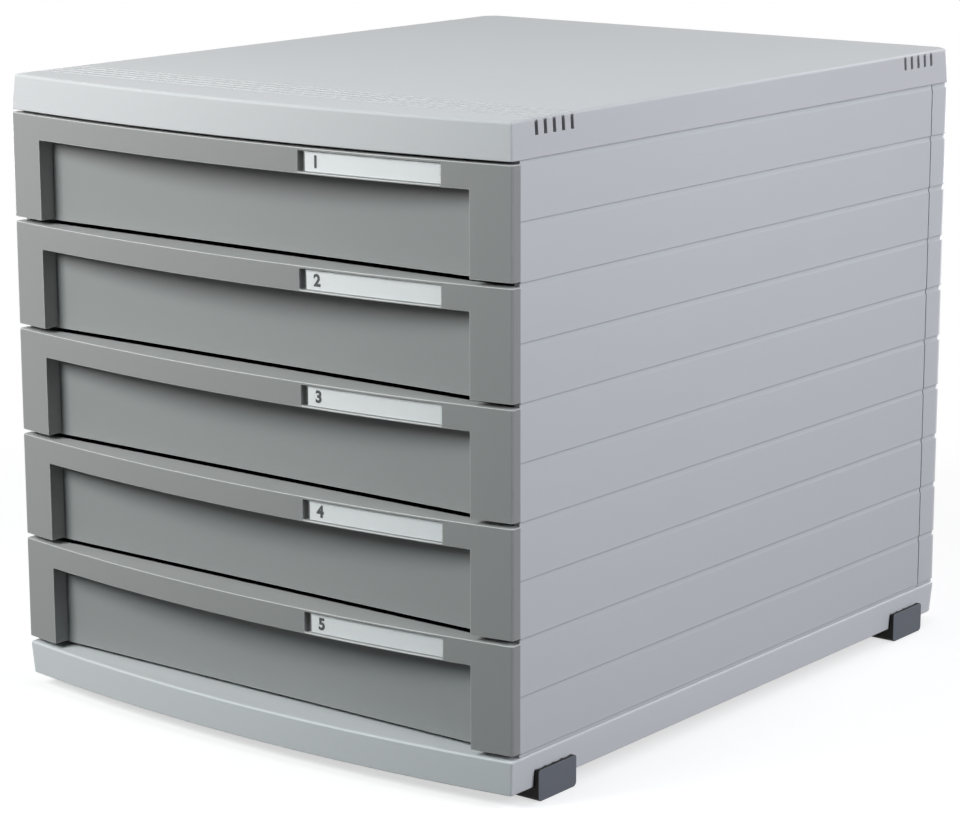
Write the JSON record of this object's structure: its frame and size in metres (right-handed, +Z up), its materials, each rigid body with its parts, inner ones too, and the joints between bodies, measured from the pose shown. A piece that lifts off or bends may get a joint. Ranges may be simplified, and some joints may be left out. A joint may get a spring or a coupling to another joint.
{
  "type": "desktop file drawer",
  "caption": "Desktop drawer box for A4 and C4 papers, with bowed recessed-grip drawer fronts, banded side walls, a slotted cover and clip-on feet.",
  "frame": {"origin": "on the table, under the middle of the object's overall box", "axes": "+Z up, the drawers face and open towards -Y, +X to the right seen from the front"},
  "size_m": [0.2942, 0.3704, 0.2933],
  "materials": {
    "case_plastic": "fine satin moulded texture, pale grey",
    "wall_plastic": "fine satin moulded texture, pale cool grey",
    "front_plastic": "satin moulded texture, mid grey",
    "tray_plastic": "satin moulded texture, mid grey",
    "foot_rubber": "dull dark grey",
    "label_paper": "white card",
    "clear_plastic": "clear glossy plastic"
  },
  "bodies": {
    "case": {"top_cover": "case_plastic", "base_tray": "case_plastic", "left_side_wall": "wall_plastic", "right_side_wall": "wall_plastic", "rear_wall": "wall_plastic", "foot_front_left": "foot_rubber", "foot_front_right": "foot_rubber", "foot_rear_left": "foot_rubber", "foot_rear_right": "foot_rubber"},
    "drawer_1": {"drawer_1_tray": "tray_plastic", "drawer_1_front": "front_plastic", "drawer_1_label_card": "label_paper", "drawer_1_label_window": "clear_plastic"},
    "drawer_2": {"drawer_2_tray": "tray_plastic", "drawer_2_front": "front_plastic", "drawer_2_label_card": "label_paper", "drawer_2_label_window": "clear_plastic"},
    "drawer_3": {"drawer_3_tray": "tray_plastic", "drawer_3_front": "front_plastic", "drawer_3_label_card": "label_paper", "drawer_3_label_window": "clear_plastic"},
    "drawer_4": {"drawer_4_tray": "tray_plastic", "drawer_4_front": "front_plastic", "drawer_4_label_card": "label_paper", "drawer_4_label_window": "clear_plastic"},
    "drawer_5": {"drawer_5_tray": "tray_plastic", "drawer_5_front": "front_plastic", "drawer_5_label_card": "label_paper", "drawer_5_label_window": "clear_plastic"}
  },
  "joints": [
    {"name": "drawer_1_slide", "type": "slide", "parent": "case", "child": "drawer_1", "axis": [0, -1, 0], "range_m": [0, 0.285]},
    {"name": "drawer_2_slide", "type": "slide", "parent": "case", "child": "drawer_2", "axis": [0, -1, 0], "range_m": [0, 0.285]},
    {"name": "drawer_3_slide", "type": "slide", "parent": "case", "child": "drawer_3", "axis": [0, -1, 0], "range_m": [0, 0.285]},
    {"name": "drawer_4_slide", "type": "slide", "parent": "case", "child": "drawer_4", "axis": [0, -1, 0], "range_m": [0, 0.285]},
    {"name": "drawer_5_slide", "type": "slide", "parent": "case", "child": "drawer_5", "axis": [0, -1, 0], "range_m": [0, 0.285]}
  ]
}
